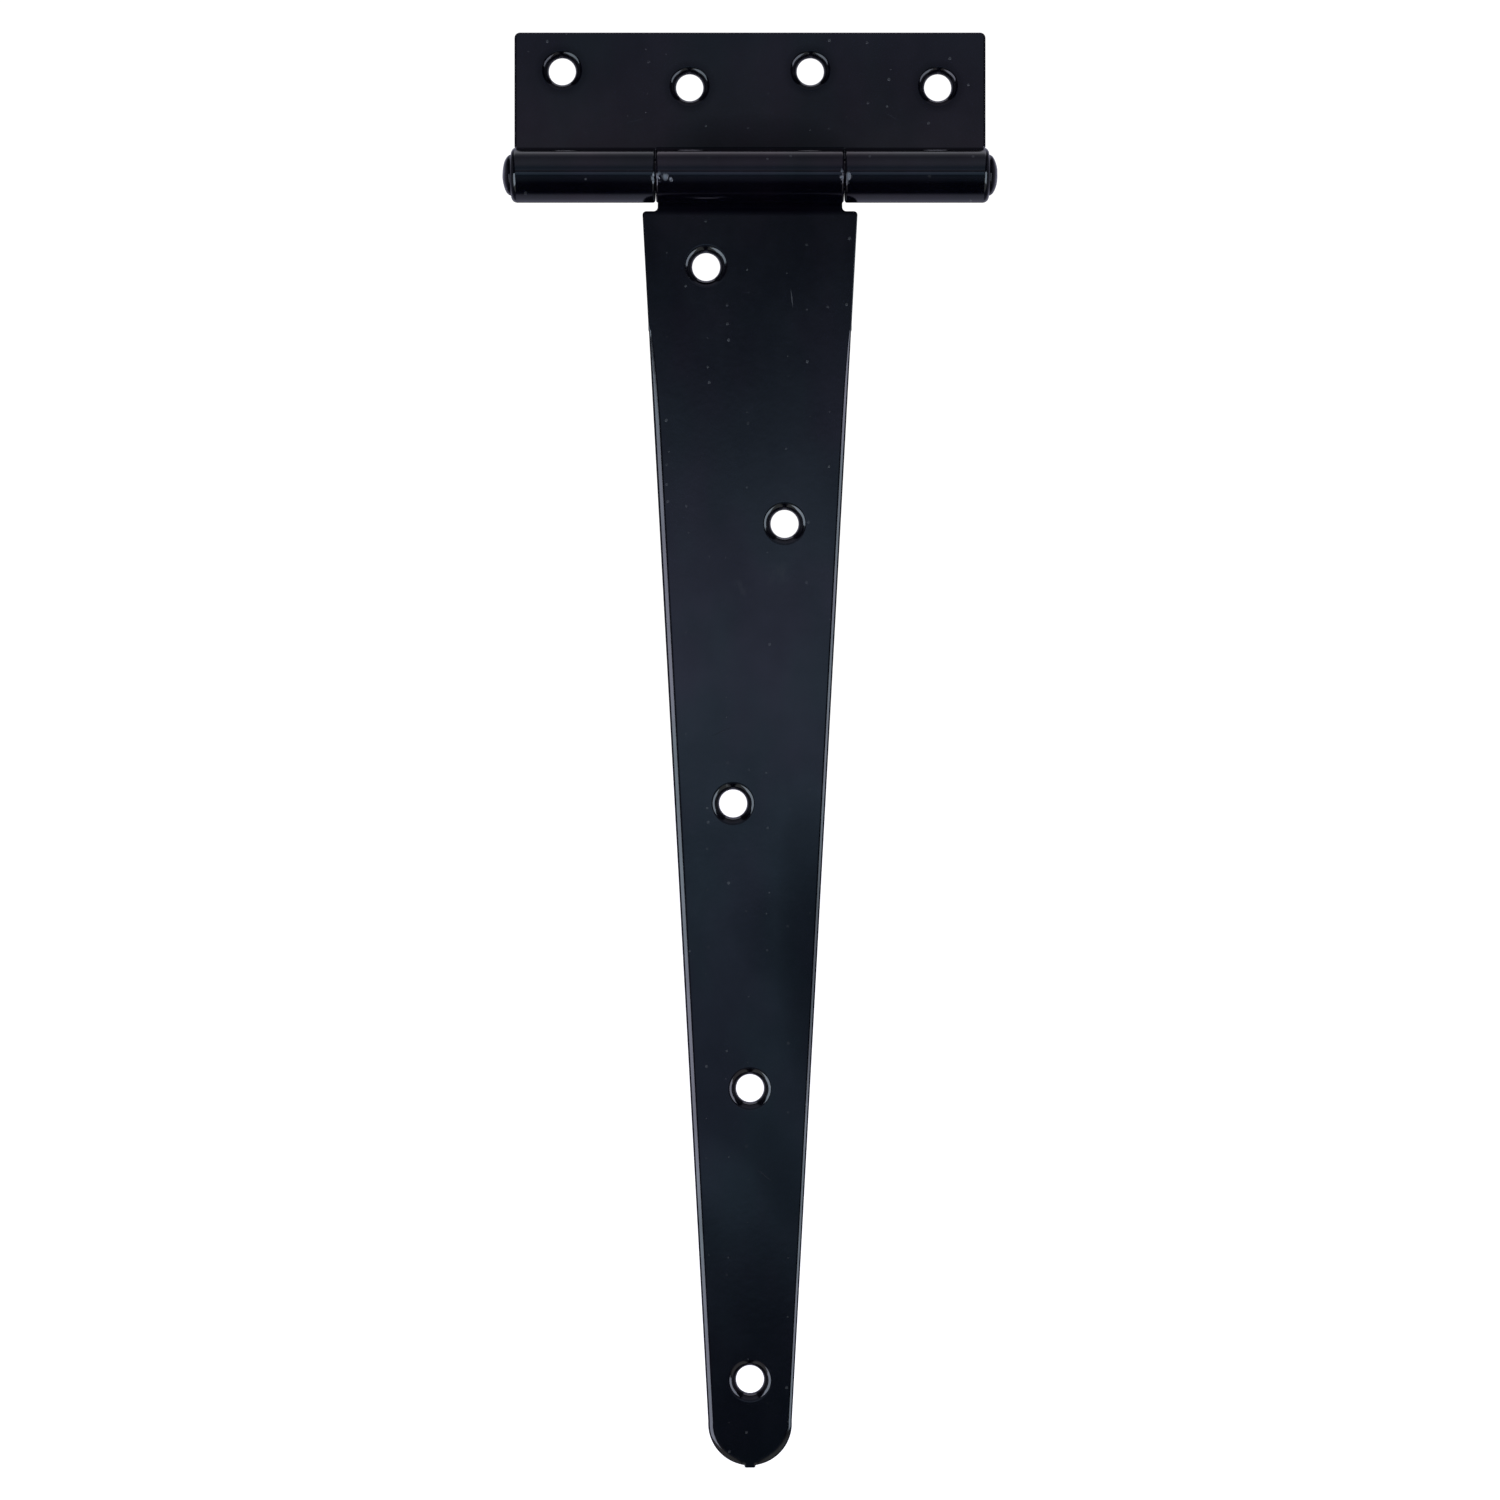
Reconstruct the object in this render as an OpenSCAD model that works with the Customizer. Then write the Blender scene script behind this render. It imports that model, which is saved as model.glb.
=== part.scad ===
// T hinge: a cross leaf and a long tapered strap, both rolled from sheet steel, that turn on one riveted pin.
// The origin is the middle of the pin. X runs along the pin, Z from the strap up to the leaf,
// and Y from the front of the hinge to the flat back that is screwed down.

/* [Sheet, pin and knuckles] */
// Thickness of the sheet that the leaf and the strap are pressed from
sheet_t = 2.5; // [2:0.1:3]
// Diameter of the pin
pin_d = 7.8; // [6:0.1:8]
// Radial play between the pin and the knuckles
pin_play = 0.05; // [0.02:0.01:0.1]
// Length of the barrel over its outer knuckles
barrel_w = 112.5; // [112.5:0.1:116]
// Width of the middle knuckle
middle_w = 44.2; // [43.8:0.1:46]
// Gap between the middle knuckle and each outer knuckle
knuckle_gap = 0.2; // [0.2:0.05:1]
// Rounding of the barrel's two outer ends
end_round = 1.4; // [0.6:0.1:1.6]
// Rounding of the knuckle ends that face each other
gap_round = 0.6; // [0.2:0.1:1]
// Slit that stays open where the rolled sheet comes back to its own face
seam_w = 0.25; // [0.15:0.05:0.4]

/* [Pin heads] */
// Diameter of a riveted pin head
head_d = 9.7; // [8.4:0.1:11]
// Height of a riveted pin head
head_h = 2.1; // [1:0.1:2.5]

/* [Cross leaf] */
// Width of the leaf along the pin
leaf_w = 111.5; // [108:0.1:112]
// Height of the leaf's top edge above the pin's axis
leaf_top = 34.4; // [32:0.1:40]
// Radius of the leaf's two top corners
leaf_corner = 1.3; // [0.5:0.1:4]
// Clearance of the leaf's cut-out above the middle knuckle
cutout_gap = 0.5; // [0.4:0.1:1.5]
// Places of the leaf's screw holes along the pin
leaf_hole_x = [-44.5, -14.3, 14.3, 44.5]; // [-48:0.1:48]
// Heights of the leaf's screw holes above the pin's axis
leaf_hole_z = [25.4, 21.6, 25.4, 21.6]; // [14:0.1:27]
// Diameter of a screw hole in the leaf
leaf_hole_d = 6.4; // [5:0.1:7.5]
// Radius of the rounded lip of a screw hole in the leaf
leaf_hole_lip = 1.7; // [0.3:0.1:1.8]

/* [Strap] */
// Length of the strap from the pin's axis to its tip
strap_len = 304.8; // [300:0.1:320]
// Width of the strap across its shoulders
shoulder_w = 51; // [48:0.1:54]
// Width of the strap's neck, where it comes down from the middle knuckle
neck_w = 43.7; // [40:0.1:43.7]
// Distance from the pin's axis down to the shoulders
shoulder_z = 7.9; // [7.6:0.1:11]
// Radius of the shoulders' outer corners
shoulder_corner = 0.8; // [0.4:0.1:2]
// Radius of the strap's round tip
tip_r = 9.92; // [9:0.01:11]
// Width of the small sheared tab left on the tip
tip_tab_w = 2.2; // [1:0.1:3]
// How far the tab stands out of the tip
tip_tab_h = 0.45; // [0.2:0.05:0.8]
// Distances below the pin's axis of the three staggered screw holes
stagger_z = [20.9, 81.8, 148.1]; // [16:0.1:180]
// Places across the strap of the three staggered screw holes
stagger_x = [-10.4, 8.2, -4]; // [-10.5:0.1:10.5]
// Distances below the pin's axis of the two screw holes on the centre line
centre_z = [215.6, 284.6]; // [190:0.1:290]
// Diameter of a screw hole in the strap
strap_hole_d = 6.6; // [5:0.1:7.5]
// Radius of the rounded lip of a screw hole in the strap
strap_hole_lip = 1.9; // [0.5:0.1:2]

/* [Hidden] */
$fn = 96;
paint = "#1b1c22";
bore_r = pin_d / 2 + pin_play;
barrel_r = bore_r + sheet_t;
middle_x = middle_w / 2;
neck_x = neck_w / 2;
knuckle_x = middle_x + knuckle_gap;
tip_z = strap_len - tip_r;
corner_z = shoulder_z + shoulder_corner;
// Angle between the strap's centre line and its edge, which runs from the shoulder's corner to touch the tip's circle
edge_reach = norm([shoulder_w / 2, tip_z - corner_z]);
taper = atan2(shoulder_w / 2, tip_z - corner_z) - asin(tip_r / edge_reach);
head_steps = 12;
eps = 0.01;

// Lays a flat outline, drawn as X and Z, into the sheet's place behind the pin
module sheet() {
    translate([0, barrel_r, 0])
        rotate([90, 0, 0])
            linear_extrude(height = sheet_t) children();
}

// Half outline of a round bar from lo to hi, with its outer corners rounded by round_lo and round_hi
module bar_profile(lo, hi, round_lo, round_hi) {
    polygon([
        [0, lo], [barrel_r - round_lo, lo], [barrel_r, lo + round_lo],
        [barrel_r, hi - round_hi], [barrel_r - round_hi, hi], [0, hi]
    ]);
    translate([barrel_r - round_lo, lo + round_lo]) circle(r = round_lo);
    translate([barrel_r - round_hi, hi - round_hi]) circle(r = round_hi);
}

// Solid bar of a knuckle along the pin's axis, before it is bored
module knuckle_bar(lo, hi, round_lo, round_hi) {
    rotate([0, 90, 0])
        rotate_extrude() bar_profile(lo, hi, round_lo, round_hi);
}

// Slit between the end of the roll and the sheet's front face, on the side that way gives: 1 above, -1 below
module seam(lo, hi, way) {
    translate([lo, bore_r - seam_w - eps, way > 0 ? 0 : -barrel_r])
        cube([hi - lo, seam_w, barrel_r]);
}

// The bore that runs on the pin
module pin_bore() {
    rotate([0, 90, 0])
        cylinder(r = bore_r, h = barrel_w + 2, center = true);
}

// Cutter of a screw hole at x and z, with a rounded lip on the front face
module screw_hole(x, z, d, lip) {
    translate([x, barrel_r - sheet_t, z])
        rotate([-90, 0, 0])
            rotate_extrude() {
                translate([0, -1]) square([d / 2, sheet_t + 2]);
                difference() {
                    translate([0, -1]) square([d / 2 + lip, 1 + lip]);
                    translate([d / 2 + lip, lip]) circle(r = lip);
                }
            }
}

module leaf_outline() {
    half = leaf_w / 2;
    difference() {
        union() {
            polygon([
                [-half, 0], [-half, leaf_top - leaf_corner], [leaf_corner - half, leaf_top],
                [half - leaf_corner, leaf_top], [half, leaf_top - leaf_corner], [half, 0]
            ]);
            for (side = [-1, 1])
                translate([side * (half - leaf_corner), leaf_top - leaf_corner]) circle(r = leaf_corner);
        }
        translate([-knuckle_x, -1]) square([2 * knuckle_x, barrel_r + cutout_gap + 1]);
    }
}

module strap_outline() {
    half = shoulder_w / 2;
    touch_x = tip_r * cos(taper);
    touch_z = tip_z + tip_r * sin(taper);
    polygon([
        [-neck_x, 0], [neck_x, 0], [neck_x, -shoulder_z], [half - shoulder_corner, -shoulder_z],
        [half, -corner_z], [touch_x, -touch_z], [-touch_x, -touch_z], [-half, -corner_z],
        [shoulder_corner - half, -shoulder_z], [-neck_x, -shoulder_z]
    ]);
    for (side = [-1, 1])
        translate([side * (half - shoulder_corner), -corner_z]) circle(r = shoulder_corner);
    translate([0, -tip_z]) circle(r = tip_r);
    translate([-tip_tab_w / 2, -strap_len - tip_tab_h]) square([tip_tab_w, tip_r]);
}

module cross_leaf() color(paint)
    difference() {
        union() {
            sheet() leaf_outline();
            knuckle_bar(-barrel_w / 2, -knuckle_x, end_round, gap_round);
            knuckle_bar(knuckle_x, barrel_w / 2, gap_round, end_round);
        }
        pin_bore();
        seam(-barrel_w / 2 - 1, -knuckle_x + 1, 1);
        seam(knuckle_x - 1, barrel_w / 2 + 1, 1);
        for (i = [0 : len(leaf_hole_x) - 1])
            screw_hole(leaf_hole_x[i], leaf_hole_z[i], leaf_hole_d, leaf_hole_lip);
    }

module strap() color(paint)
    difference() {
        union() {
            sheet() strap_outline();
            knuckle_bar(-middle_x, middle_x, gap_round, gap_round);
        }
        pin_bore();
        seam(-middle_x - 1, middle_x + 1, -1);
        for (i = [0 : len(stagger_z) - 1])
            screw_hole(stagger_x[i], -stagger_z[i], strap_hole_d, strap_hole_lip);
        for (z = centre_z)
            screw_hole(0, -z, strap_hole_d, strap_hole_lip);
    }

// Half outline of a domed head: a quarter of an ellipse, from its rim to its top
function head_arc(end) = [
    for (step = [0 : head_steps])
        let (a = 90 * step / head_steps)
            [head_d / 2 * cos(a), end * (barrel_w / 2 + head_h * sin(a))]
];

function backward(points) = [for (i = [len(points) - 1 : -1 : 0]) points[i]];

// A straight rod with both ends hammered over into low domes
module hinge_pin() color(paint)
    rotate([0, 90, 0])
        rotate_extrude()
            polygon(concat(
                backward(head_arc(-1)),
                [[pin_d / 2, -barrel_w / 2], [pin_d / 2, barrel_w / 2]],
                head_arc(1)
            ));

cross_leaf();
strap();
hinge_pin();
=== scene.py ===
"""T hinge in black enamel: two rolled plates of sheet metal and a riveted pin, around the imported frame.

Each plate is drawn flat, as the blank it is pressed from, with its edges and screw holes rounded over.
Its end is then rolled round the pin. Lengths are in millimetres until a mesh is made.
"""
import math

import bmesh
import bpy
import numpy as np
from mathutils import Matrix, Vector, geometry, noise


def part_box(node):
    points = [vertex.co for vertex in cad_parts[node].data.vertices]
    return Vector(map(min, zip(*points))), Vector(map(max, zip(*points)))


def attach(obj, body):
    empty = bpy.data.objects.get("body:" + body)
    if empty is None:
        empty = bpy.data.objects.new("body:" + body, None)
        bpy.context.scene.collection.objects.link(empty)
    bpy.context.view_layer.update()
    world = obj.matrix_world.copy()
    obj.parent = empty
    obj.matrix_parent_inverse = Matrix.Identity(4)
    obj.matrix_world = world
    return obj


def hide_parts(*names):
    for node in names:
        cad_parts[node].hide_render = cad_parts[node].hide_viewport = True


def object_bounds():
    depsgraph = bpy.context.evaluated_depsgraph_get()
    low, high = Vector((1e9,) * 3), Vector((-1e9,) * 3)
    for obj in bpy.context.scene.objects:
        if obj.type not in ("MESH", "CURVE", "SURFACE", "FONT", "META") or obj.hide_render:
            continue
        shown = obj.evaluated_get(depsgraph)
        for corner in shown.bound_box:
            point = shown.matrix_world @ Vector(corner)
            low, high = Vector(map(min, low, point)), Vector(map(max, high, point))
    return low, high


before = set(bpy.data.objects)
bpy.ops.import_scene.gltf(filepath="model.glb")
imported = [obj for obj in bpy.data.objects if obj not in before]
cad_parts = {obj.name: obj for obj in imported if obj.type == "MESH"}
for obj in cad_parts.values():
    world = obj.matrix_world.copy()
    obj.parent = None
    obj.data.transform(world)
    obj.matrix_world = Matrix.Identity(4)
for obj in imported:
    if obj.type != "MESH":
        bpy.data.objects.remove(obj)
CAD_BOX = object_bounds()
MM = 0.001


# ---------------------------------------------------------------- sizes, read from the frame

def box_mm(node):
    low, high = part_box(node)
    return np.array(low) / MM, np.array(high) / MM


LEAF_LOW, LEAF_HIGH = box_mm("cross_leaf")
STRAP_LOW, STRAP_HIGH = box_mm("strap")
PIN_LOW, PIN_HIGH = box_mm("hinge_pin")

BARREL_R = LEAF_HIGH[1]            # outside radius of the knuckles, and the plates' back plane
BARREL_X = LEAF_HIGH[0]            # half length of the barrel
LEAF_TOP = LEAF_HIGH[2]
SHOULDER_X = STRAP_HIGH[0]         # half width across the strap's shoulders
HEAD_R = PIN_HIGH[1]
HEAD_X = PIN_HIGH[0]
SHEET_T = 2.5
BORE_R = BARREL_R - SHEET_T
PIN_PLAY = 0.05
PIN_R = BORE_R - PIN_PLAY
LEAF_X = 55.75                     # half width of the cross leaf
RELIEF_X = LEAF_X - 0.45           # and of its waist just above the barrel
NECK_X = 21.85                     # half width of the strap's neck
MIDDLE_X = 22.1                    # half length of the middle knuckle
KNUCKLE_GAP = 0.2
KNUCKLE_X = MIDDLE_X + KNUCKLE_GAP  # inner end of an outer knuckle
END_ROUND = 1.4                    # rounding of the barrel's outer ends
CUTOUT_TOP = BARREL_R + 0.5        # the leaf's edge behind the middle knuckle
SHOULDER_Z = 7.9                   # drop from the pin's axis to the shoulders
TIP_R = 9.92
LEAF_LIP = 1.7                     # how far a screw hole's edge is rounded over, from its wall outwards
STRAP_LIP = 1.9
LIP_DEPTH = 2.2                    # and from the front face into the sheet
HOLE_BACK = 0.2                    # rounding of a hole's edge on the back face
TAB_H = 0.45                       # sheared tab left on the strap's tip
TAB_X = 1.1
TIP_Z = -STRAP_LOW[2] - TAB_H      # distance from the pin's axis to the round tip
ROLL_R = (BARREL_R + BORE_R) / 2   # the sheet's middle layer keeps its length when it is rolled
SEAM_GAP = 0.08                    # the roll's end stops this far from the plate's face
ROLL_END = (2 * math.pi - math.acos((BORE_R - SEAM_GAP) / BARREL_R)) * ROLL_R

# How finely the meshes are divided
PLATE_STEP = 3.2
ROLL_STEP = 0.30
FILLET_STEP = math.radians(11)
TIP_STEPS = 24
HOLE_STEPS = 72
FRONT_RINGS = 9
BACK_RINGS = 6
EDGE_GAP = 0.9                     # between an edge's points and the points inside a face
PIN_STEPS = 144
HEAD_STEPS = 14

# What counts as a screw hole: a loop that is small and round enough
LARGEST_HOLE_R = 6
ROUND_WITHIN = 0.05


def rim_links(node):
    """The points along the edges of a CAD node's back face, each with its neighbours."""
    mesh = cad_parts[node].data
    points = np.array([v.co for v in mesh.vertices]) / MM
    keys = [tuple(k) for k in np.round(points, 3)]
    back = points[:, 1].max()
    uses = {}
    for face in mesh.polygons:
        ids = list(face.vertices)
        if min(points[i, 1] for i in ids) < back - 0.001:
            continue
        for a, b in zip(ids, ids[1:] + ids[:1]):
            pair = frozenset((keys[a], keys[b]))
            uses[pair] = uses.get(pair, 0) + 1
    links = {}
    for pair, count in uses.items():
        if count == 1 and len(pair) == 2:
            a, b = pair
            links.setdefault(a, []).append(b)
            links.setdefault(b, []).append(a)
    return links


def cad_holes(node):
    """Centres and radii of a CAD node's screw holes, which are the round loops in its back face's edges."""
    links = rim_links(node)
    holes = []
    while links:
        stack = [next(iter(links))]
        loop = []
        while stack:
            here = stack.pop()
            if here in links:
                loop.append(here)
                stack.extend(links.pop(here))
        loop = np.array(loop)[:, [0, 2]]
        centre = (loop.min(0) + loop.max(0)) / 2
        reach = np.linalg.norm(loop - centre, axis=1)
        if reach.max() < LARGEST_HOLE_R and reach.max() - reach.min() < ROUND_WITHIN:
            holes.append((centre[0], centre[1], reach.max()))
    return sorted(holes, key=lambda h: (-h[1], h[0]))


# ---------------------------------------------------------------- outlines of the flat blanks

def corner(x, s, fillet=0.0, front=0.6, back=0.25):
    """A corner of an outline: across, along the sheet, its fillet, and how far the front and back edges
    round over."""
    return (x, s, fillet, front, back)


def mirrored(half):
    """Closes an outline whose right half is given from the bottom to the top."""
    return half + [(-c[0],) + c[1:] for c in reversed(half)]


def knuckle_strip(inner, outer, end_back, gap_back):
    """The part of a blank that is rolled, from its outer to its inner side, as corners in order."""
    return [
        corner(outer, 1.0, front=0.2, back=end_back),
        corner(outer, ROLL_END * 0.85, front=0.2, back=end_back),
        corner(outer, ROLL_END, fillet=1.3, front=0.2, back=0.5),
        corner(inner, ROLL_END, fillet=0.8, front=0.2, back=0.5),
        corner(inner, 1.0, front=0.2, back=gap_back),
    ]


def leaf_outline():
    cutout_x = KNUCKLE_X - 0.1
    right = [
        corner(LEAF_X, -LEAF_TOP, fillet=1.3, front=0.55),
        corner(LEAF_X, -BARREL_R - 0.9, fillet=0.7, front=0.55),
        corner(RELIEF_X, -BARREL_R + 0.1, fillet=0.35, front=0.35),
        corner(BARREL_X, -BARREL_R + 1.7, fillet=0.6, front=0.3),
    ]
    right += knuckle_strip(KNUCKLE_X, BARREL_X, END_ROUND, 0.6)
    right += [
        corner(cutout_x, -1.0, front=0.2, back=0.2),
        corner(cutout_x, -CUTOUT_TOP, fillet=0.4, front=0.35),
    ]
    return mirrored(right)


# The strap's long edge near the shoulders, where the shears started: drop from the pin's axis,
# how far the edge stands out, and how far it is rounded over
SHEAR_START = [
    (58, 0, 2.0),
    (48, 0, 1.7),
    (40, 0, 1.1),
    (36.3, -0.02, 0.6),
    (36, 0.09, 0.4),
    (34.5, 0.03, 0.28),
]
SHOULDER_FRONT = 0.28


def tip_corners(taper, edge_share):
    """From the sheared tab up to where the tip's circle meets the long edge."""
    corners = [corner(TAB_X, -TIP_Z - TAB_H, fillet=0.3, front=0.25, back=0.2)]
    start = math.acos((TAB_X + 0.25) / TIP_R)
    for step in range(TIP_STEPS + 1):
        a = start + (-taper - start) * step / TIP_STEPS
        front = min(1.6, 0.8 + 0.3 * step) * (edge_share if step > 20 else 1)
        corners.append(corner(TIP_R * math.cos(a), -TIP_Z + TIP_R - TIP_R * math.sin(a), front=front))
    return corners


def strap_side(edge_share):
    """The right half of the strap's outline. edge_share makes the rounding of its long edge smaller."""
    tip_drop = TIP_Z - TIP_R - SHOULDER_Z
    taper = math.atan2(SHOULDER_X, tip_drop)
    taper -= math.asin(TIP_R / math.hypot(SHOULDER_X, tip_drop))
    right = tip_corners(taper, edge_share)
    edge_low = np.array(right[-1][:2])
    edge_high = np.array([SHOULDER_X, -SHOULDER_Z])
    for z, out, front in SHEAR_START:
        share = (-z - edge_low[1]) / (edge_high[1] - edge_low[1])
        place = edge_low + (edge_high - edge_low) * share
        right.append(corner(place[0] + out, place[1], front=front * edge_share))
    return right + [
        corner(SHOULDER_X, -SHOULDER_Z, fillet=0.9, front=SHOULDER_FRONT),
        corner(NECK_X, -SHOULDER_Z, fillet=0.95, front=SHOULDER_FRONT),
        corner(NECK_X, -5.5, front=0.4, back=0.3),
        corner(MIDDLE_X, -4.0, front=0.3, back=0.3),
        corner(MIDDLE_X, 1.0, front=0.2, back=0.6),
        corner(MIDDLE_X, ROLL_END, fillet=0.8, front=0.2, back=0.5),
    ]


def strap_outline():
    """The whole strap. Its right edge is rounded over less than its left one."""
    right = strap_side(0.7)
    left = mirrored(strap_side(1.0))[len(right):]
    return right + left


# ---------------------------------------------------------------- from outline to mesh

def unit(vector):
    return vector / np.linalg.norm(vector)


def outward(direction):
    """The outward side of an edge of an anticlockwise outline."""
    return np.array([direction[1], -direction[0]])


def fillet_arc(here, came, goes, fillet, front, back):
    """Samples along the fillet of a corner, between the directions in which the outline came and goes."""
    turn = math.atan2(came[0] * goes[1] - came[1] * goes[0], came @ goes)
    side = math.copysign(1, turn)
    base = outward(came)
    start = here - came * fillet * math.tan(abs(turn) / 2)
    centre = start - base * fillet * side
    steps = max(3, math.ceil(abs(turn) / FILLET_STEP))
    arc = []
    for k in range(steps + 1):
        a = turn * k / steps
        c = math.cos(a)
        d = math.sin(a)
        normal = np.array([base[0] * c - base[1] * d, base[0] * d + base[1] * c])
        arc.append((*(centre + normal * fillet * side), *normal, front, back))
    return arc


def corner_samples(corners):
    """One sample for a sharp corner and an arc of them for a filleted one."""
    samples = []
    for i, (x, s, fillet, front, back) in enumerate(corners):
        here = np.array([x, s])
        came = unit(here - np.array(corners[i - 1][:2]))
        goes = unit(np.array(corners[(i + 1) % len(corners)][:2]) - here)
        if fillet == 0:
            normal = unit(outward(came) + outward(goes))
            samples.append((*here, *normal, front, back))
        else:
            samples += fillet_arc(here, came, goes, fillet, front, back)
    return np.array(samples)


def traced(corners):
    """Samples an anticlockwise outline. A row is x, s, the outward normal's x and s, how far the front and
    the back edge round over, and the depth of the front rounding."""
    samples = corner_samples(corners)
    rows = []
    for a, b in zip(samples, np.roll(samples, -1, axis=0)):
        span = b[:2] - a[:2]
        length = np.linalg.norm(span)
        if length < 1e-6:
            continue
        rows.append(a)
        rolled = max(a[1], b[1]) > 0.01 and abs(span[1]) > 1e-3
        parts = math.ceil(length / (ROLL_STEP if rolled else PLATE_STEP))
        for k in range(1, parts):
            row = a + (b - a) * k / parts
            row[2:4] = outward(span / length)
            rows.append(row)
    rows = np.array(rows)
    front = rows[:, 4]
    depth = np.minimum(front, 0.3 + 0.25 * front)
    return np.column_stack([rows, depth])


def round_hole(x, s, radius, lip):
    """A clockwise loop round a screw hole, so that outward points into the hole, in rows like traced()."""
    angles = np.linspace(0, -2 * math.pi, HOLE_STEPS, endpoint=False)
    c = np.cos(angles)
    d = np.sin(angles)
    ones = np.ones(HOLE_STEPS)
    edge = [lip * ones, HOLE_BACK * ones, LIP_DEPTH * ones]
    return np.column_stack([x + radius * c, s + radius * d, -c, -d] + edge)


def bend(points, normals, way):
    """Puts sheet coordinates (x, s, depth from the back) in the frame, rolling what lies beyond s = 0 round
    the pin. way is 1 for the leaf, which stands above the pin, and -1 for the strap below it."""
    x, s, t = points.T
    rolled = s > 0
    angle = np.where(rolled, s / ROLL_R, 0.0)
    c = np.cos(angle)
    d = np.sin(angle)
    r = BARREL_R - t
    placed = np.column_stack([x, r * c, np.where(rolled, -way * r * d, -way * s)])
    nx, ns, nt = normals.T
    turned = np.column_stack([nx, -ns * d - nt * c, -way * ns * c + way * nt * d])
    return placed, turned / np.linalg.norm(turned, axis=1)[:, None]


def inside(points, loops):
    """Which points lie inside the outer loop and outside the holes, by counting crossings of all loops."""
    hit = np.zeros(len(points), bool)
    px, py = points.T
    for loop in loops:
        for (ax, ay), (bx, by) in zip(loop, np.roll(loop, -1, axis=0)):
            if ay == by:
                continue
            crosses = (ay > py) != (by > py)
            hit ^= crosses & (px < (bx - ax) * (py - ay) / (by - ay) + ax)
    return hit


def inner_grid(loops, edge):
    """A grid of points between the loops, so that the face can bend, with none too near the edge points."""
    low = edge.min(0)
    high = edge.max(0)
    plate_rows = np.arange(low[1] + PLATE_STEP, 0.0, PLATE_STEP)
    roll_rows = np.arange(0.0, high[1], ROLL_STEP)
    columns = np.linspace(low[0], high[0], math.ceil((high[0] - low[0]) / PLATE_STEP) + 1)
    grid = np.array([(x, s) for s in np.concatenate([plate_rows, roll_rows]) for x in columns])
    grid = grid[inside(grid, loops)]
    reach = np.array([np.abs(edge - g).max(1).min() for g in grid])
    gap = [np.linalg.norm((edge - g) * [1, 1 if g[1] < 0 else 3], axis=1).min() for g in grid]
    return grid[(np.array(gap) > EDGE_GAP) & (reach > 0.05)]


def within_walls(faces, walls, start):
    """Which faces are reached from the start face without crossing a wall."""
    owners = {}
    doors = []
    for k, (a, b, c) in enumerate(faces.tolist()):
        sides = [frozenset((a, b)), frozenset((b, c)), frozenset((c, a))]
        doors.append([side for side in sides if side not in walls])
        for side in sides:
            owners.setdefault(side, []).append(k)
    reached = np.zeros(len(faces), bool)
    reached[start] = True
    todo = [start]
    while todo:
        for side in doors[todo.pop()]:
            for k in owners[side]:
                if not reached[k]:
                    reached[k] = True
                    todo.append(k)
    return reached


def filled(loops):
    """Triangles between closed loops of sheet points. Returns a grid of new points and the triangles, which
    index the loops' points followed by the new ones."""
    edge = np.vstack(loops)
    grid = inner_grid(loops, edge)
    points = np.vstack([edge, grid])
    walls = []
    base = 0
    for loop in loops:
        n = len(loop)
        walls += [(base + k, base + (k + 1) % n) for k in range(n)]
        base += n
    _, _, faces, origins, _, _ = geometry.delaunay_2d_cdt(
        [Vector(p) for p in points], walls, [], 0, 1e-6, True)
    source = [o[0] for o in origins]
    faces = np.array([[source[i] for i in f] for f in faces])
    a, b, c = points[faces].transpose(1, 0, 2)
    size = np.abs((b - a)[:, 0] * (c - a)[:, 1] - (b - a)[:, 1] * (c - a)[:, 0])
    start = int(np.argmax(size * inside((a + b + c) / 3, loops)))
    return grid, faces[within_walls(faces, {frozenset(pair) for pair in walls}, start)]


class Skin:
    """Points of a plate in sheet coordinates, their normals, how much of an edge each is, and the faces."""

    def __init__(self):
        self.points = []
        self.normals = []
        self.rounding = []
        self.faces = []
        self.count = 0

    def add(self, flat, depth, normals, rounding):
        """Adds points and returns their numbers."""
        self.points.append(np.column_stack([flat, depth]))
        self.normals.append(normals)
        self.rounding.append(rounding)
        ids = self.count + np.arange(len(flat))
        self.count += len(flat)
        return ids


def edge_rings(loop):
    """The rings that round a loop's edge over, from the front face to the back one: inset, depth from the
    back, angle, side of the sheet and steepness of the profile."""
    front, back, deep = loop[:, 4:].T
    rings = []
    for a in np.linspace(0, math.pi / 2, FRONT_RINGS):
        inset = front * (1 - math.sin(a))
        rings.append((inset, SHEET_T - deep * (1 - math.cos(a)), a, 1, deep / front))
    for a in np.linspace(math.pi / 2, 0, BACK_RINGS):
        inset = back * (1 - math.sin(a))
        rings.append((inset, back * (1 - math.cos(a)), a, -1, np.ones(len(loop))))
    return rings


def add_edge(skin, loop):
    """Adds a rounded edge. Returns its outermost ring on the front face and on the back face, each as its
    points and their numbers."""
    flat = loop[:, :2]
    out = loop[:, 2:4]
    n = len(loop)
    placed = []
    for inset, depth, a, side, steep in edge_rings(loop):
        ring = flat - out * inset[:, None]
        normals = np.column_stack([out * (steep * math.sin(a))[:, None], np.full(n, side * math.cos(a))])
        worn = math.sin(2 * a) if side > 0 else math.sin(a)
        ids = skin.add(ring, depth, normals, np.full(n, worn))
        if placed:
            last = placed[-1][1]
            skin.faces += zip(last, np.roll(last, -1), np.roll(ids, -1), ids)
        placed.append((ring, ids))
    return placed[0], placed[-1]


def add_face(skin, rings, depth, side):
    """Adds the front or back face, which lies between its rings."""
    grid, triangles = filled([ring for ring, _ in rings])
    count = len(grid)
    normals = np.tile([0.0, 0.0, float(side)], (count, 1))
    new = skin.add(grid, np.full(count, depth), normals, np.zeros(count))
    ids = np.concatenate([ring_ids for _, ring_ids in rings] + [new])
    skin.faces += [tuple(ids[t]) for t in triangles]


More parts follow.
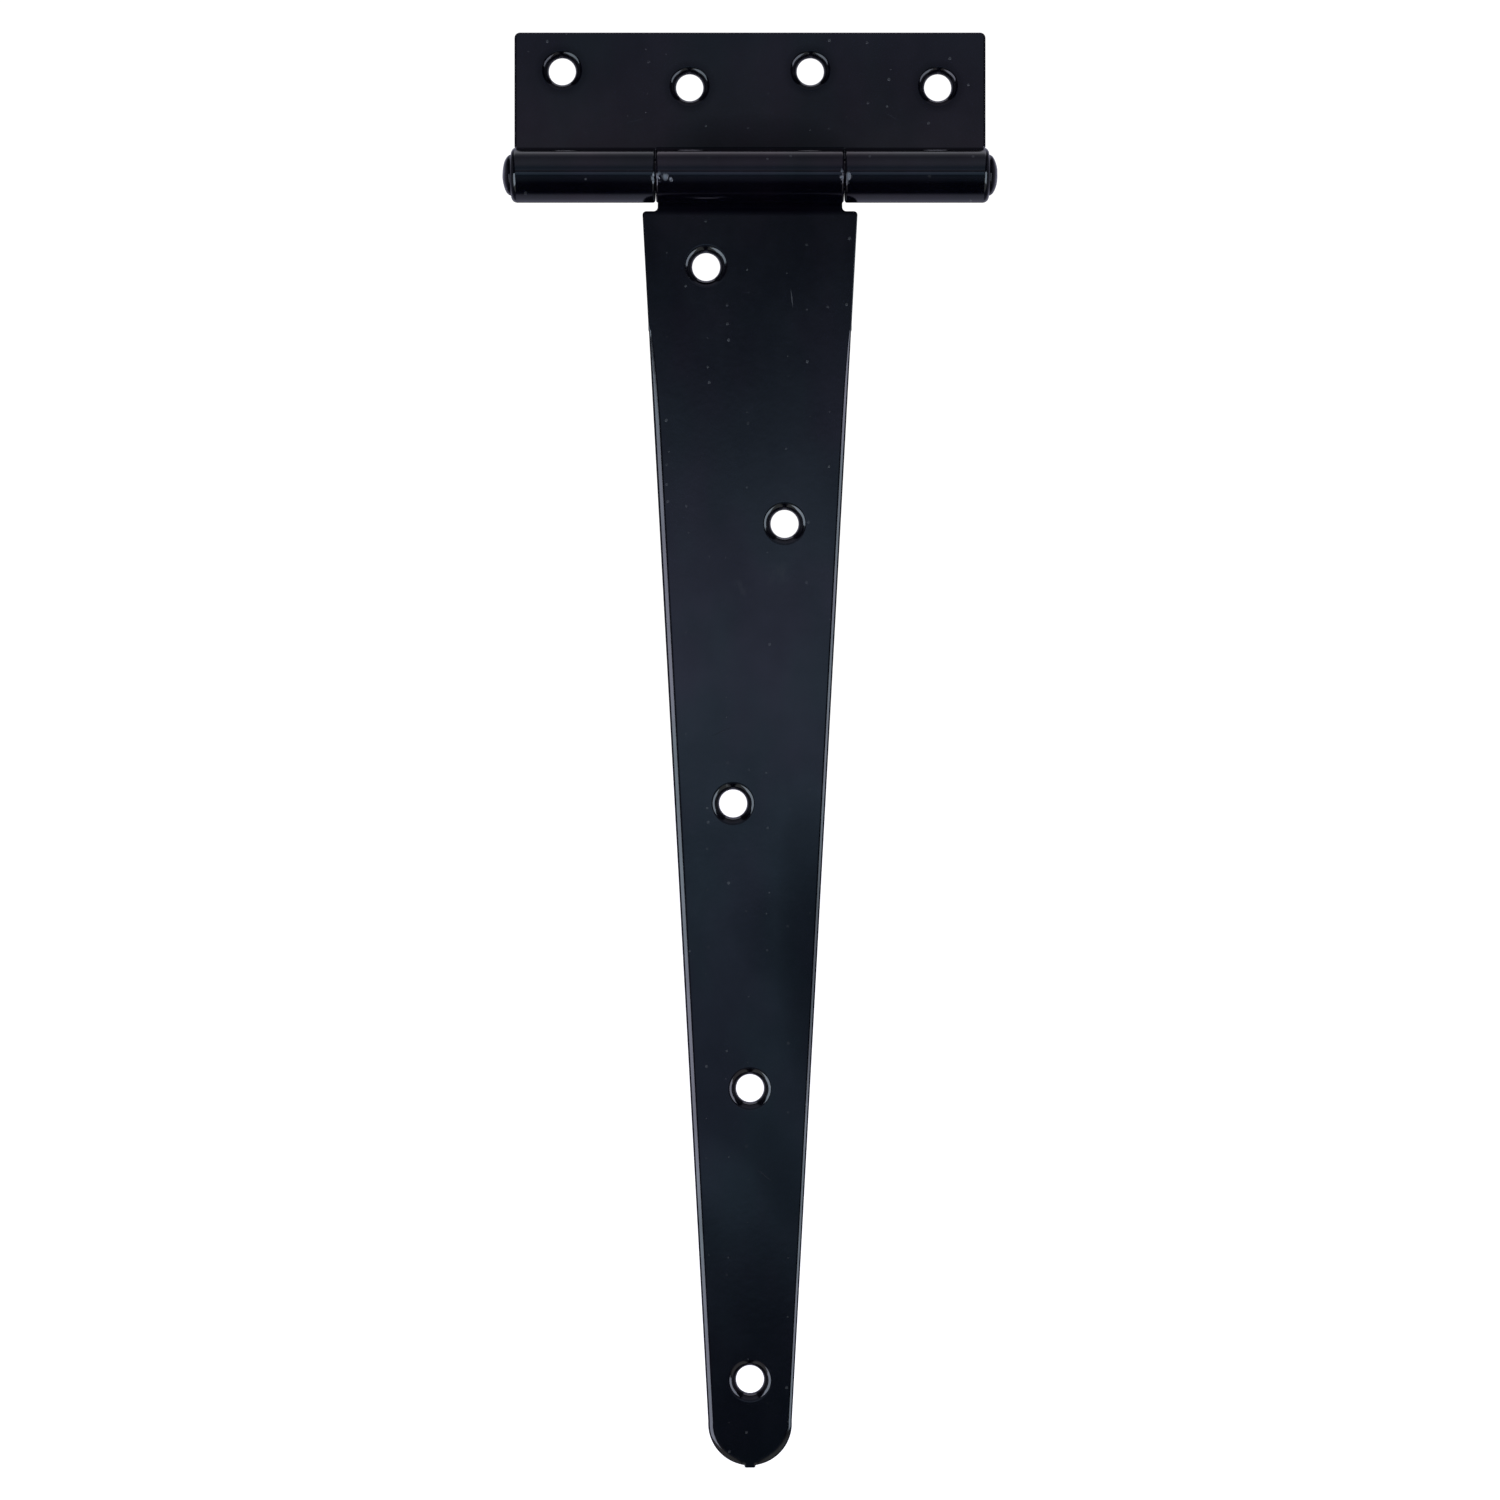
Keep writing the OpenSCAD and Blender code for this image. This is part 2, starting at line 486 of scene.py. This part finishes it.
def sheet_mesh(name, outline, holes, lip, way):
    """A plate with rounded edges and lipped holes, rolled round the pin."""
    loops = [traced(outline)]
    loops += [round_hole(x, -way * z, r, lip) for x, z, r in holes]
    skin = Skin()
    fronts, backs = zip(*[add_edge(skin, loop) for loop in loops])
    add_face(skin, fronts, SHEET_T, 1)
    add_face(skin, backs, 0.0, -1)
    placed, turned = bend(np.vstack(skin.points), np.vstack(skin.normals), way)
    return finished_mesh(name, placed, skin.faces, turned, np.concatenate(skin.rounding))


def finished_mesh(name, points, faces, normals, rounding):
    """Makes a smooth closed mesh object from points in millimetres, with its own shading normals."""
    mesh = bpy.data.meshes.new(name)
    mesh.from_pydata([tuple(p) for p in points * MM], [], [tuple(int(i) for i in f) for f in faces])
    work = bmesh.new()
    work.from_mesh(mesh)
    bmesh.ops.recalc_face_normals(work, faces=work.faces)
    work.to_mesh(mesh)
    work.free()
    mesh.shade_smooth()
    attribute = mesh.attributes.new("rounding", "FLOAT", "POINT")
    attribute.data.foreach_set("value", rounding.astype(np.float32))
    if normals is not None:
        mesh.normals_split_custom_set_from_vertices([tuple(n) for n in normals])
    piece = bpy.data.objects.new(name, mesh)
    bpy.context.scene.collection.objects.link(piece)
    return piece


def pin_profile():
    """The pin's outline from one end to the other, without the middle of its heads: x, radius and wear."""
    head_h = HEAD_X - BARREL_X
    half = []
    for k in range(1, HEAD_STEPS + 1):
        a = math.pi / 2 * k / HEAD_STEPS
        half.append((HEAD_X - head_h * (1 - math.cos(a)), HEAD_R * math.sin(a), 1 - 0.6 * math.cos(a)))
    half += [
        (BARREL_X + 0.02, HEAD_R - 0.05, 1.0),
        (BARREL_X, HEAD_R - 0.25, 0.5),
        (BARREL_X, PIN_R + 0.1, 0.0),
        (BARREL_X - 0.1, PIN_R, 0.0),
    ]
    half += [(x, PIN_R, 0.0) for x in np.linspace(BARREL_X - 0.4, 0.5, 24)]
    return half + [(-x, r, worn) for x, r, worn in reversed(half)]


def hammered(x, r, y, z):
    """A point at radius r of a head, in the direction y, z: dented by the hammer and uneven at the rim."""
    dent = 0.5 + 0.5 * noise.noise(Vector((x * 0.12, y * r * 0.55, z * r * 0.55 + 7)))
    rim = 0.5 + 0.5 * noise.noise(Vector((x, y * 2.2, z * 2.2)))
    uneven = r * (1 - 0.022 * rim * min(1.0, r / HEAD_R) ** 3)
    return x - math.copysign(0.16 * dent * (1 - r / HEAD_R * 0.7), x), y * uneven, z * uneven


def pin_mesh(name):
    """The rod and its two hammered heads, turned round the X axis."""
    profile = pin_profile()
    points = [(HEAD_X, 0.0, 0.0)]
    rounding = [0.3]
    for x, r, worn in profile:
        for k in range(PIN_STEPS):
            a = 2 * math.pi * k / PIN_STEPS
            y = math.cos(a)
            z = math.sin(a)
            on_head = abs(x) > BARREL_X + 0.01
            points.append(hammered(x, r, y, z) if on_head else (x, y * r, z * r))
            rounding.append(worn * 0.6)
    points.append((-HEAD_X, 0.0, 0.0))
    rounding.append(0.3)
    faces = []
    last = 1 + (len(profile) - 1) * PIN_STEPS
    for k in range(PIN_STEPS):
        n = (k + 1) % PIN_STEPS
        faces.append((0, 1 + k, 1 + n))
        faces.append((len(points) - 1, last + n, last + k))
        for a in range(1, last, PIN_STEPS):
            b = a + PIN_STEPS
            faces.append((a + k, b + k, b + n, a + n))
    points = np.array(points)
    points[0, 0] = points[1:1 + PIN_STEPS, 0].mean() + 0.01
    points[-1, 0] = points[-1 - PIN_STEPS:-1, 0].mean() - 0.01
    return finished_mesh(name, points, faces, None, np.array(rounding))


# ---------------------------------------------------------------- materials

class Nodes:
    """Short calls for wiring a material or world from nodes."""

    def __init__(self, owner):
        owner.use_nodes = True
        self.tree = owner.node_tree
        self.tree.nodes.clear()

    def add(self, kind, settings=None, **inputs):
        node = self.tree.nodes.new(kind)
        for key, value in (settings or {}).items():
            setattr(node, key, value)
        for key, value in inputs.items():
            numbered = key[0] == "i" and key[1:].isdigit()
            self.feed(node.inputs[int(key[1:]) if numbered else key], value)
        return node

    def feed(self, socket, value):
        if isinstance(value, bpy.types.NodeSocket):
            self.tree.links.new(value, socket)
        else:
            socket.default_value = value

    def math(self, operation, a, b=0.0, c=0.0, clamp=False):
        settings = {"operation": operation, "use_clamp": clamp}
        return self.add("ShaderNodeMath", settings, i0=a, i1=b, i2=c).outputs[0]

    def times(self, a, b):
        return self.math("MULTIPLY", a, b)

    def vector(self, operation, a, b=(0, 0, 0)):
        return self.add("ShaderNodeVectorMath", {"operation": operation}, i0=a, i1=b)

    def noise(self, vector, scale, detail=2.0, roughness=0.5, distortion=0.0):
        node = self.add("ShaderNodeTexNoise", Vector=vector, Scale=scale, Detail=detail,
                        Roughness=roughness, Distortion=distortion)
        return node.outputs["Fac"]

    def ramp(self, value, low, high, to_low=0.0, to_high=1.0):
        """Maps low..high smoothly to to_low..to_high."""
        node = self.add("ShaderNodeMapRange", {"interpolation_type": "SMOOTHSTEP"}, Value=value)
        for key, number in (("From Min", low), ("From Max", high), ("To Min", to_low), ("To Max", to_high)):
            node.inputs[key].default_value = number
        return node.outputs[0]

    def mix(self, share, a, b):
        node = self.add("ShaderNodeMix", {"data_type": "RGBA"})
        self.feed(node.inputs["Factor"], share)
        for socket, value in ((node.inputs[6], a), (node.inputs[7], b)):
            self.feed(socket, value if isinstance(value, bpy.types.NodeSocket) else (*value, 1.0))
        return node.outputs[2]

    def bump(self, height, distance, strength=1.0, normal=None):
        node = self.add("ShaderNodeBump", Height=height, Distance=distance, Strength=strength)
        if normal is not None:
            self.feed(node.inputs["Normal"], normal)
        return node.outputs["Normal"]


# Marks on the paint: x and z of the middle, half length and half width in mm, slope in degrees, strength
STRAP_SCRATCHES = [
    (9.9, -28.6, 2.4, 0.14, 96, 1.0),
    (-6.5, -131.0, 2.6, 0.06, 24, 0.45),
    (3.4, -236.0, 3.2, 0.06, 140, 0.4),
    (-11.5, -66.0, 2.2, 0.05, 63, 0.35),
]
LEAF_SCRATCHES = [
    (-27.0, 13.5, 3.0, 0.05, 12, 0.4),
    (33.5, 14.5, 2.1, 0.06, 150, 0.45),
    (2.0, 28.5, 2.4, 0.05, 78, 0.3),
]
# The same without a strength
STRAP_SMUDGES = [
    (6.5, -93.5, 5.5, 3.2, 20),
    (-2.0, -97.0, 3.0, 1.6, -35),
]
# Painted highlights by the knuckle gaps, light patches that stand in for the lamps' glints on the knuckles'
# ends: x and z of the middle, half sizes
LEAF_GAP_HIGHLIGHTS = [
    (-22.7, -1.4, 0.5, 1.5),
    (23.1, -1.0, 0.45, 2.0),
]
STRAP_GAP_HIGHLIGHTS = [
    (-21.2, -1.3, 0.7, 1.3),
    (-19.8, -1.2, 0.8, 1.1),
    (-18.5, -1.9, 0.5, 0.6),
    (21.5, -1.1, 0.45, 1.9),
]
# Painted shade and painted highlights: spots where the enamel's reflection is made weaker or stronger to
# stand in for light and shade. Each row is x and z of the middle, half sizes, slope, change in shine
# Painted shade: weaker reflection round each of the leaf's screw holes, which dims the lamps' highlights on
# their lips
LEAF_PAINTED_SHINE = [(x, z, 6.5, 6.5, 0, -0.6) for x, z, _ in cad_holes("cross_leaf")]
LEAF_PAINTED_SHINE += [
    # Painted shade on the leaf's middle just above the barrel, and painted highlights: stronger reflection
    # towards its lower corners
    (0, 6.5, 25, 9, 0, -0.42),
    (-46, 10, 22, 14, 0, 0.25),
    (47, 7, 22, 10, 0, 0.25),
]
STRAP_PAINTED_SHINE = [
    # Painted shade: no reflection across the strap's neck just under the barrel, standing in for the
    # barrel's shade there
    (0, -7.4, 60, 1.7, 0, -1.0),
    # Painted shade: weaker reflection round the strap's top screw hole
    (-10.4, -20.9, 6.5, 6.5, 0, -0.3),
    # Painted shade on the right of the strap's lower part, and a painted highlight: a brighter patch that
    # stands in for a softbox's reflection, with darker strips beside it
    (15, -185, 9, 42, 3, -0.45),
    (4, -178, 9, 16, 20, -0.2),
    (-7, -238, 9, 14, 35, 0.35),
    (8, -236, 7, 16, 20, -0.2),
]
# Painted shade: weaker reflection on the pin's heads beside the barrel's ends, which dims a highlight in
# the crevice there
PIN_PAINTED_SHADE = [(side * (BARREL_X + 0.3), 0, 0.75, 7, 0, -0.6) for side in (-1, 1)]

# Paint colours
BLUE_BLACK = (0.0003, 0.0003, 0.0012)
GREY_BLACK = (0.0006, 0.0006, 0.0016)
RED_BLACK = (0.0012, 0.0006, 0.0018)
DUST = (0.028, 0.030, 0.031)
THIN_PAINT = (0.020, 0.021, 0.024)
SCRATCHED = (0.075, 0.078, 0.085)
SMUDGED = (0.026, 0.028, 0.032)
# light grey of the painted highlights by the knuckle gaps
GAP_HIGHLIGHT_GREY = (0.11, 0.125, 0.14)
PINK_SHINE = (1.06, 0.98, 1.03)
GREEN_SHINE = (0.94, 1.01, 0.99)


def turned_axis(n, dx, dz, c, d, half):
    """How far a point is along a turned axis, as a multiple of half."""
    return n.math("ADD", n.times(dx, c / (half * MM)), n.times(dz, d / (half * MM)))


def spot(n, place, x, z, half_x, half_z, slope=0.0):
    """1 in the middle of an ellipse on the face, 0 outside it."""
    c = math.cos(math.radians(slope))
    d = math.sin(math.radians(slope))
    dx = n.math("SUBTRACT", place[0], x * MM)
    dz = n.math("SUBTRACT", place[2], z * MM)
    along = turned_axis(n, dx, dz, c, d, half_x)
    across = turned_axis(n, dx, dz, -d, c, half_z)
    square = n.math("ADD", n.times(along, along), n.times(across, across))
    return n.math("SUBTRACT", 1.0, square, clamp=True)


def strongest(n, values):
    out = values[0]
    for value in values[1:]:
        out = n.math("MAXIMUM", out, value)
    return out


class Enamel:
    """Cool near-black enamel, built up in layers that change its tone, roughness, sheen and normal."""

    def __init__(self, name, seed):
        self.material = bpy.data.materials.new(name)
        n = Nodes(self.material)
        self.n = n
        coords = n.add("ShaderNodeTexCoord").outputs["Object"]
        self.place = n.add("ShaderNodeSeparateXYZ", i0=coords).outputs
        self.shifted = n.vector("ADD", coords, (seed, seed * 0.7, seed * 1.3)).outputs[0]
        self.stretched = n.vector("MULTIPLY", self.shifted, (1.0, 1.0, 0.45)).outputs[0]
        self.facing = n.add("ShaderNodeNewGeometry").outputs["Normal"]
        self.cloud = n.noise(self.stretched, 42.0, detail=3.0, roughness=0.6)

    def base(self):
        """Faint runs of tone."""
        n = self.n
        self.tone = n.mix(n.ramp(self.cloud, 0.32, 0.70), BLUE_BLACK, GREY_BLACK)
        warm = n.ramp(n.noise(self.shifted, 75.0, detail=1.0), 0.52, 0.75, 0.0, 0.5)
        self.tone = n.mix(warm, self.tone, RED_BLACK)

    def dust(self):
        """Small nibs of dust under the paint."""
        n = self.n
        flat = n.add("ShaderNodeCombineXYZ", X=self.place[0], Y=self.place[2]).outputs[0]
        grit = n.add("ShaderNodeTexVoronoi", {"voronoi_dimensions": "2D"}, Vector=flat, Scale=210.0)
        pick = n.add("ShaderNodeSeparateColor", i0=grit.outputs["Color"]).outputs
        size = n.ramp(pick[1], 0.0, 1.0, 0.02, 0.075)
        dot = n.math("LESS_THAN", grit.outputs["Distance"], size)
        self.nib = n.times(dot, n.math("GREATER_THAN", pick[0], 0.80))
        self.tone = n.mix(n.times(self.nib, n.ramp(pick[2], 0.0, 1.0, 0.15, 0.8)), self.tone, DUST)

    def thin_edges(self):
        """Paint that has drawn back in patches from the rounded edges."""
        n = self.n
        edge = n.add("ShaderNodeAttribute", {"attribute_name": "rounding"}).outputs["Fac"]
        patchy = n.ramp(n.noise(self.shifted, 520.0, detail=4.0, roughness=0.65), 0.47, 0.72)
        self.tone = n.mix(n.times(n.times(edge, patchy), 0.22), self.tone, THIN_PAINT)

    def shine(self, painted_shine):
        """Roughness, sheen and the tint of the reflections. The spots given paint shade and highlights into
        the sheen, by making the reflection weaker or stronger there.
        """
        n = self.n
        fine = n.noise(self.shifted, 420.0, detail=3.0, roughness=0.6)
        rough = n.ramp(self.cloud, 0.3, 0.7, 0.085, 0.115)
        self.rough = n.math("ADD", rough, n.times(n.math("SUBTRACT", fine, 0.5), 0.04))
        sheen = n.math("ADD", n.ramp(self.cloud, 0.25, 0.75, 0.44, 0.56), n.times(fine, 0.06))
        blotch = n.noise(self.shifted, 115.0, detail=2.0)
        sheen = n.times(sheen, n.ramp(blotch, 0.30, 0.70, 0.95, 1.05))
        for x, z, half_x, half_z, slope, gain in painted_shine:
            share = n.times(spot(n, self.place, x, z, half_x, half_z, slope), gain)
            sheen = n.times(sheen, n.math("ADD", share, 1.0))
        self.sheen = sheen
        turn = n.ramp(n.noise(self.stretched, 70.0, detail=2.0), 0.36, 0.64)
        self.hue = n.mix(turn, PINK_SHINE, GREEN_SHINE)

    def surface(self, lift):
        """Long waves, orange peel and nibs. lift tips what stands above the barrel slightly upwards."""
        n = self.n
        wave = n.noise(self.stretched, 26.0, detail=1.0, roughness=0.4)
        peel = n.noise(self.shifted, 620.0, detail=2.0, roughness=0.55)
        raised = n.ramp(self.place[2], (BARREL_R + 0.1) * MM, (BARREL_R + 0.5) * MM, 0.0, lift)
        start = n.vector("ADD", self.facing, n.add("ShaderNodeCombineXYZ", Z=raised).outputs[0]).outputs[0]
        start = n.vector("NORMALIZE", start).outputs[0]
        normal = n.bump(wave, 0.00005, 1.0, start)
        normal = n.bump(peel, 0.0000045, 1.0, normal)
        self.normal = n.bump(self.nib, 0.00003, 0.6, normal)

    def scratch(self, marks):
        n = self.n
        front = n.math("ABSOLUTE", n.add("ShaderNodeSeparateXYZ", i0=self.facing).outputs[1])
        lines = [n.times(spot(n, self.place, *mark[:5]), mark[5]) for mark in marks]
        line = n.times(strongest(n, lines), n.math("GREATER_THAN", front, 0.9))
        self.tone = n.mix(n.times(line, 0.5), self.tone, SCRATCHED)
        self.rough = n.math("ADD", self.rough, n.times(line, 0.25))
        self.normal = n.bump(n.times(line, -1.0), 0.00002, 0.7, self.normal)

    def smudge(self, marks):
        n = self.n
        haze = strongest(n, [spot(n, self.place, *mark) for mark in marks])
        patchy = n.ramp(n.noise(self.stretched, 300.0, detail=3.0, roughness=0.7), 0.42, 0.62)
        haze = n.times(haze, patchy)
        self.tone = n.mix(n.times(haze, 0.30), self.tone, SMUDGED)
        self.rough = n.math("ADD", self.rough, n.times(haze, 0.10))

    # Painted highlights by the knuckle gaps: light patches with shallow dents, on the front half only
    def paint_gap_highlights(self, marks):
        n = self.n
        lit_patch = strongest(n, [spot(n, self.place, *mark) for mark in marks])
        outer = n.math("LESS_THAN", self.place[1], 0.0)
        patchy = n.ramp(n.noise(self.shifted, 900.0, detail=2.0), 0.42, 0.60)
        lit_patch = n.times(n.times(lit_patch, outer), patchy)
        self.tone = n.mix(n.times(lit_patch, 0.8), self.tone, GAP_HIGHLIGHT_GREY)
        self.normal = n.bump(n.times(lit_patch, -1.0), 0.00008, 0.8, self.normal)

    def finished(self):
        n = self.n
        shader = n.add("ShaderNodeBsdfPrincipled")
        n.feed(shader.inputs["Base Color"], self.tone)
        n.feed(shader.inputs["Roughness"], self.rough)
        n.feed(shader.inputs["Specular IOR Level"], self.sheen)
        n.feed(shader.inputs["Specular Tint"], self.hue)
        n.feed(shader.inputs["Normal"], self.normal)
        n.add("ShaderNodeOutputMaterial", Surface=shader.outputs[0])
        return self.material


def enamel(name, seed, painted_shine, lift=0.0, scratches=(), smudges=(), gap_highlights=()):
    """The enamel of one piece, with its own marks. seed shifts its random patterns."""
    paint = Enamel(name, seed)
    paint.base()
    paint.dust()
    paint.thin_edges()
    paint.shine(painted_shine)
    paint.surface(lift)
    if scratches:
        paint.scratch(scratches)
    if smudges:
        paint.smudge(smudges)
    if gap_highlights:
        paint.paint_gap_highlights(gap_highlights)
    return paint.finished()


def place_piece(piece, node, body, material):
    piece.data.materials.append(material)
    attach(piece, body)
    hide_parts(node)


# ---------------------------------------------------------------- studio

WHITE = (1, 1, 1, 1)


def floor_material():
    """Pale, almost shadowless studio floor with a barely visible mottle."""
    material = bpy.data.materials.new("pale_floor")
    n = Nodes(material)
    coords = n.add("ShaderNodeTexCoord").outputs["Object"]
    shade = n.mix(n.noise(coords, 9.0, 3.0), (0.90, 0.90, 0.90), (0.93, 0.93, 0.93))
    diffuse = n.add("ShaderNodeBsdfDiffuse", Color=shade)
    glow = n.add("ShaderNodeEmission", Color=WHITE, Strength=0.85)
    both = n.add("ShaderNodeAddShader", i0=diffuse.outputs[0], i1=glow.outputs[0])
    n.add("ShaderNodeOutputMaterial", Surface=both.outputs[0])
    return material


def add_floor():
    mesh = bpy.data.meshes.new("floor")
    work = bmesh.new()
    bmesh.ops.create_circle(work, cap_ends=True, radius=40.0, segments=96)
    work.to_mesh(mesh)
    work.free()
    floor = bpy.data.objects.new("floor", mesh)
    bpy.context.scene.collection.objects.link(floor)
    floor.location.z = CAD_BOX[0].z
    floor.visible_glossy = False
    mesh.materials.append(floor_material())


# What the enamel reflects, by height angle in degrees: 0 in front, 90 overhead, 180 behind, -90 below.
# Each row is the angle, the brightness and a tint: cool, neutral, warmer, teal or brownish.
C = (0.80, 1.0, 1.42)
N = (1.0, 1.0, 1.33)
W = (1.02, 1.0, 1.15)
T = (0.72, 1.03, 1.48)
B = (1.14, 1.0, 1.22)
ROOM = [
    (-180, 0.30, N), (-150, 0.32, N), (-137, 0.36, N), (-105, 0.39, N), (-99, 0.30, N), (-94, 0.14, N),
    (-89, 0.03, N), (-83, 0.003, N), (-45, 0.003, C), (-38, 0.02, C), (-30, 0.07, C), (-21, 0.11, C),
    (-14, 0.14, C), (14, 0.30, C), (22, 0.20, C), (27, 0.23, C), (36, 0.32, N), (45, 0.35, N),
    (60, 0.28, N), (71, 0.21, N), (82, 0.30, N), (88, 0.45, W), (94, 0.85, W), (99, 1.15, W),
    (112, 1.15, W), (125, 0.60, N), (150, 0.35, N), (180, 0.30, N),
]
AHEAD = [
    (-14.0, 0.14, T), (-10.5, 0.07, T), (-9.3, 0.06, T), (-8.3, 0.125, C), (-7.3, 0.22, T), (-6.5, 0.39, T),
    (-5.3, 0.35, T), (-3.5, 0.27, T), (-2.2, 0.34, T), (-1.2, 0.50, T), (0.0, 0.60, C), (1.0, 0.62, C),
    (2.2, 0.54, C), (3.3, 0.48, C), (4.6, 0.33, C), (5.6, 0.20, C), (6.6, 0.11, C), (7.6, 0.09, C),
    (9.6, 0.16, B), (11.0, 0.24, B), (14.0, 0.30, C),
]

# What it reflects to either side, by the angle turned away from straight ahead
SIDES = [
    (0, 0.03, N), (50, 0.03, N), (70, 0.14, N), (97, 0.17, N), (113, 0.17, N), (128, 0.25, N),
    (141, 0.37, N), (154, 0.42, N), (180, 0.50, N),
]
AHEAD_REACH = 14.0        # AHEAD holds up to this height angle, ROOM beyond it
BEHIND = (0.02, 0.02, 0.025)


def light_ramp(n, degrees, rows):
    """Brightness and tint by angle, from rows of (angle, brightness, tint)."""
    low = rows[0][0]
    high = rows[-1][0]
    share = n.math("DIVIDE", n.math("SUBTRACT", degrees, float(low)), float(high - low), clamp=True)
    node = n.add("ShaderNodeValToRGB", i0=share)
    elements = node.color_ramp.elements
    while len(elements) < len(rows):
        elements.new(0.5)
    for element, (angle, level, tint) in zip(elements, rows):
        element.position = (angle - low) / (high - low)
        element.color = (level * tint[0], level * tint[1], level * tint[2], 1)
    return node.outputs[0]


def degrees_between(n, side, ahead):
    return n.times(n.math("ARCTAN2", side, ahead), 180 / math.pi)


def side_light(n, x, z, ahead):
    """The light at the sides, dimmer overhead and underfoot, with a soft glow low in front."""
    turned = degrees_between(n, n.math("ABSOLUTE", x), ahead)
    sides = n.vector("SCALE", light_ramp(n, turned, SIDES))
    n.feed(sides.inputs["Scale"], n.ramp(n.math("ABSOLUTE", z), 0.30, 0.75, 1.0, 0.25))
    glow = n.times(n.ramp(z, -0.45, -0.22, 0.5, 0.0), n.ramp(turned, 58, 74, 1.0, 0.0))
    return n.vector("ADD", sides.outputs[0], glow).outputs[0]


def add_world():
    """White to the camera. Reflections see a dim room, dark low down and straight behind the hinge."""
    world = bpy.data.worlds.new("studio")
    bpy.context.scene.world = world
    n = Nodes(world)
    direction = n.add("ShaderNodeTexCoord").outputs["Generated"]
    x, y, z = n.add("ShaderNodeSeparateXYZ", i0=direction).outputs
    ahead = n.times(y, -1.0)
    height = degrees_between(n, z, ahead)
    near = n.math("LESS_THAN", n.math("ABSOLUTE", height), AHEAD_REACH)
    room = n.mix(near, light_ramp(n, height, ROOM), light_ramp(n, height, AHEAD))
    wide = n.math("SUBTRACT", n.math("ABSOLUTE", x), n.times(n.math("MAXIMUM", z, 0.0), 0.4))
    room = n.mix(n.ramp(wide, 0.075, 0.18), room, side_light(n, x, z, ahead))
    room = n.mix(n.ramp(y, 0.93, 0.965), room, BEHIND)
    shine = n.add("ShaderNodeBackground", Color=room, Strength=1.0)
    white = n.add("ShaderNodeBackground", Color=WHITE, Strength=1.1)
    seen = n.add("ShaderNodeLightPath").outputs["Is Camera Ray"]
    both = n.add("ShaderNodeMixShader", i0=seen, i1=shine.outputs[0], i2=white.outputs[0])
    n.add("ShaderNodeOutputWorld", Surface=both.outputs[0])


LAMP_TINT = (0.90, 1.0, 1.2)
LENS = 94.0
SENSOR = 36.0
HINGE_SHARE = 0.957067             # of the picture's height


def add_softbox(name, place, target, width, height, power):
    light = bpy.data.lights.new(name, "AREA")
    light.shape = "RECTANGLE"
    light.size = width
    light.size_y = height
    light.energy = power
    light.color = LAMP_TINT
    lamp = bpy.data.objects.new(name, light)
    bpy.context.scene.collection.objects.link(lamp)
    lamp.location = place
    lamp.rotation_mode = "QUATERNION"
    lamp.rotation_quaternion = (Vector(target) - Vector(place)).to_track_quat("-Z", "Y")


def add_camera():
    """Straight at the hinge's face, level with its middle, which is returned."""
    low, high = CAD_BOX
    middle = (low + high) / 2
    data = bpy.data.cameras.new("camera")
    data.sensor_width = SENSOR
    data.lens = LENS
    data.clip_start = 0.05
    data.clip_end = 200
    camera = bpy.data.objects.new("camera", data)
    bpy.context.scene.collection.objects.link(camera)
    face_y = (BARREL_R - SHEET_T) * MM
    frame_height = (high.z - low.z) / HINGE_SHARE
    camera.location = (middle.x, face_y - frame_height * LENS / SENSOR, middle.z)
    camera.rotation_euler = (math.pi / 2, 0, 0)
    bpy.context.scene.camera = camera
    return middle


# ---------------------------------------------------------------- the hinge

leaf = sheet_mesh("rolled_cross_leaf", leaf_outline(), cad_holes("cross_leaf"), LEAF_LIP, 1)
leaf_paint = enamel("leaf_enamel", 0.31, LEAF_PAINTED_SHINE, lift=0.03, scratches=LEAF_SCRATCHES,
                    gap_highlights=LEAF_GAP_HIGHLIGHTS)
place_piece(leaf, "cross_leaf", "leaf_and_pin", leaf_paint)

strap = sheet_mesh("rolled_strap", strap_outline(), cad_holes("strap"), STRAP_LIP, -1)
strap_paint = enamel("strap_enamel", 1.7, STRAP_PAINTED_SHINE, scratches=STRAP_SCRATCHES, smudges=STRAP_SMUDGES,
                     gap_highlights=STRAP_GAP_HIGHLIGHTS)
place_piece(strap, "strap", "strap", strap_paint)

pin = pin_mesh("riveted_pin")
place_piece(pin, "hinge_pin", "leaf_and_pin", enamel("pin_enamel", 2.9, PIN_PAINTED_SHADE))

add_floor()
add_world()
middle = add_camera()
aim = (0, 0, middle.z)
add_softbox("softbox_right", (0.40, -0.47, middle.z - 0.06), aim, 0.34, 0.50, 2.05)
add_softbox("softbox_left", (-0.36, -0.47, middle.z - 0.14), aim, 0.38, 0.56, 2.7)
bpy.context.scene.view_settings.view_transform = "Standard"
